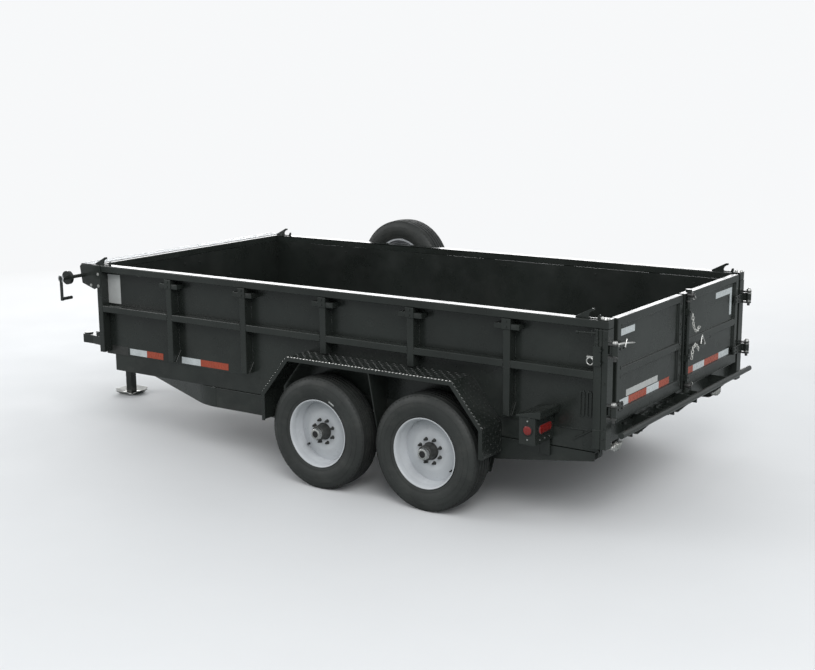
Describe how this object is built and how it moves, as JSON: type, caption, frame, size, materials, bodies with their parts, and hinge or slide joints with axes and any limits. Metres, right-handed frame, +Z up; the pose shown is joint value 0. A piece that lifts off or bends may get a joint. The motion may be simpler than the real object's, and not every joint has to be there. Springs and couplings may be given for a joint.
{
  "type": "dump trailer",
  "caption": "Tandem-axle bumper-pull dump trailer: tipping open bed with barn doors, rams, fenders, A-frame tongue with jack and box, tarp kit and spare wheel.",
  "frame": {"origin": "on the ground under the middle of the trailer's length and width", "axes": "+X forward to the coupler, +Y to the left side, +Z up"},
  "size_m": [5.856, 2.714, 1.5546],
  "materials": {
    "black_paint": "gloss",
    "white_paint": "satin",
    "hub_grey": "satin",
    "tyre_rubber": "matte",
    "red_lens": "gloss",
    "zinc_steel": "satin",
    "bare_aluminium": "satin",
    "chromed_rod": "polished",
    "tarp_cloth": "matte"
  },
  "bodies": {
    "chassis": {"frame_rails": "black_paint", "tongue_rails": "black_paint", "chassis_crossmembers": "black_paint", "hinge_mounts": "black_paint", "hoist_base": "black_paint", "coupler": "black_paint", "jack": "black_paint", "jack_foot": "zinc_steel", "tongue_box": "black_paint", "fender_left": "black_paint", "fender_right": "black_paint", "fender_stays": "black_paint", "lamp_boxes": "black_paint", "lamps": "red_lens", "axles": "black_paint", "leaf_springs": "black_paint", "spring_hangers": "black_paint"},
    "box_lid": {"tongue_box_lid": "black_paint"},
    "bed": {"bed_floor": "black_paint", "bed_wall_left": "black_paint", "bed_wall_right": "black_paint", "bed_front_wall": "black_paint", "bed_sills": "black_paint", "bed_crossmembers": "black_paint", "bed_rear_frame": "black_paint", "bed_posts": "black_paint", "mid_rails": "black_paint", "top_rails": "black_paint", "rear_posts": "black_paint", "post_brackets": "black_paint", "board_hooks": "black_paint", "rear_bar": "black_paint", "bed_ears": "black_paint", "door_hinge_pins": "zinc_steel", "spare_tyre": "tyre_rubber", "spare_rim": "white_paint", "spare_bracket": "black_paint", "tarp_housing": "bare_aluminium", "tarp_roll": "tarp_cloth", "tarp_brackets": "black_paint", "tarp_crank": "black_paint"},
    "left_door": {"door_left": "black_paint", "door_straps_left": "black_paint"},
    "right_door": {"door_right": "black_paint", "door_straps_right": "black_paint", "latch_bar": "zinc_steel"},
    "ram_barrels": {"cylinder_barrels": "black_paint"},
    "ram_rods": {"cylinder_rods": "chromed_rod"},
    "wheel_rear_left": {"tyre_rear_left": "tyre_rubber", "rim_rear_left": "white_paint", "hub_rear_left": "hub_grey"},
    "wheel_front_left": {"tyre_front_left": "tyre_rubber", "rim_front_left": "white_paint", "hub_front_left": "hub_grey"},
    "wheel_rear_right": {"tyre_rear_right": "tyre_rubber", "rim_rear_right": "white_paint", "hub_rear_right": "hub_grey"},
    "wheel_front_right": {"tyre_front_right": "tyre_rubber", "rim_front_right": "white_paint", "hub_front_right": "hub_grey"}
  },
  "joints": [
    {"name": "bed_tilt", "type": "hinge", "parent": "chassis", "child": "bed", "pos_m": [-2.668, 0, 0.49], "axis": [0, -1, 0], "range_deg": [0, 45]},
    {"name": "left_door_swing", "type": "hinge", "parent": "bed", "child": "left_door", "pos_m": [-2.87, 1.112, 1], "axis": [0, 0, -1], "range_deg": [0, 225]},
    {"name": "right_door_swing", "type": "hinge", "parent": "bed", "child": "right_door", "pos_m": [-2.87, -1.112, 1], "axis": [0, 0, 1], "range_deg": [0, 225]},
    {"name": "ram_swing", "type": "hinge", "parent": "chassis", "child": "ram_barrels", "pos_m": [-1.478, 0, 0.5], "axis": [0, -1, 0], "range_deg": [0, 66.47]},
    {"name": "ram_slide", "type": "slide", "parent": "ram_barrels", "child": "ram_rods", "axis": [0.9983, 0, 0.0587], "range_m": [0, 0.54649]},
    {"name": "lid_swing", "type": "hinge", "parent": "chassis", "child": "box_lid", "pos_m": [1.643, 0, 0.794], "axis": [0, -1, 0], "range_deg": [0, 80]},
    {"name": "spin_rear_left", "type": "hinge", "parent": "chassis", "child": "wheel_rear_left", "pos_m": [-1.616, 1.168, 0.3926], "axis": [0, 1, 0], "continuous": true},
    {"name": "spin_front_left", "type": "hinge", "parent": "chassis", "child": "wheel_front_left", "pos_m": [-0.744, 1.168, 0.3926], "axis": [0, 1, 0], "continuous": true},
    {"name": "spin_rear_right", "type": "hinge", "parent": "chassis", "child": "wheel_rear_right", "pos_m": [-1.616, -1.168, 0.3926], "axis": [0, 1, 0], "continuous": true},
    {"name": "spin_front_right", "type": "hinge", "parent": "chassis", "child": "wheel_front_right", "pos_m": [-0.744, -1.168, 0.3926], "axis": [0, 1, 0], "continuous": true}
  ],
  "couplings": [
    {"joint": "ram_swing", "follows": "bed_tilt", "ratio": 1.4769},
    {"joint": "ram_slide", "follows": "bed_tilt", "m_per_rad": 0.69568}
  ]
}
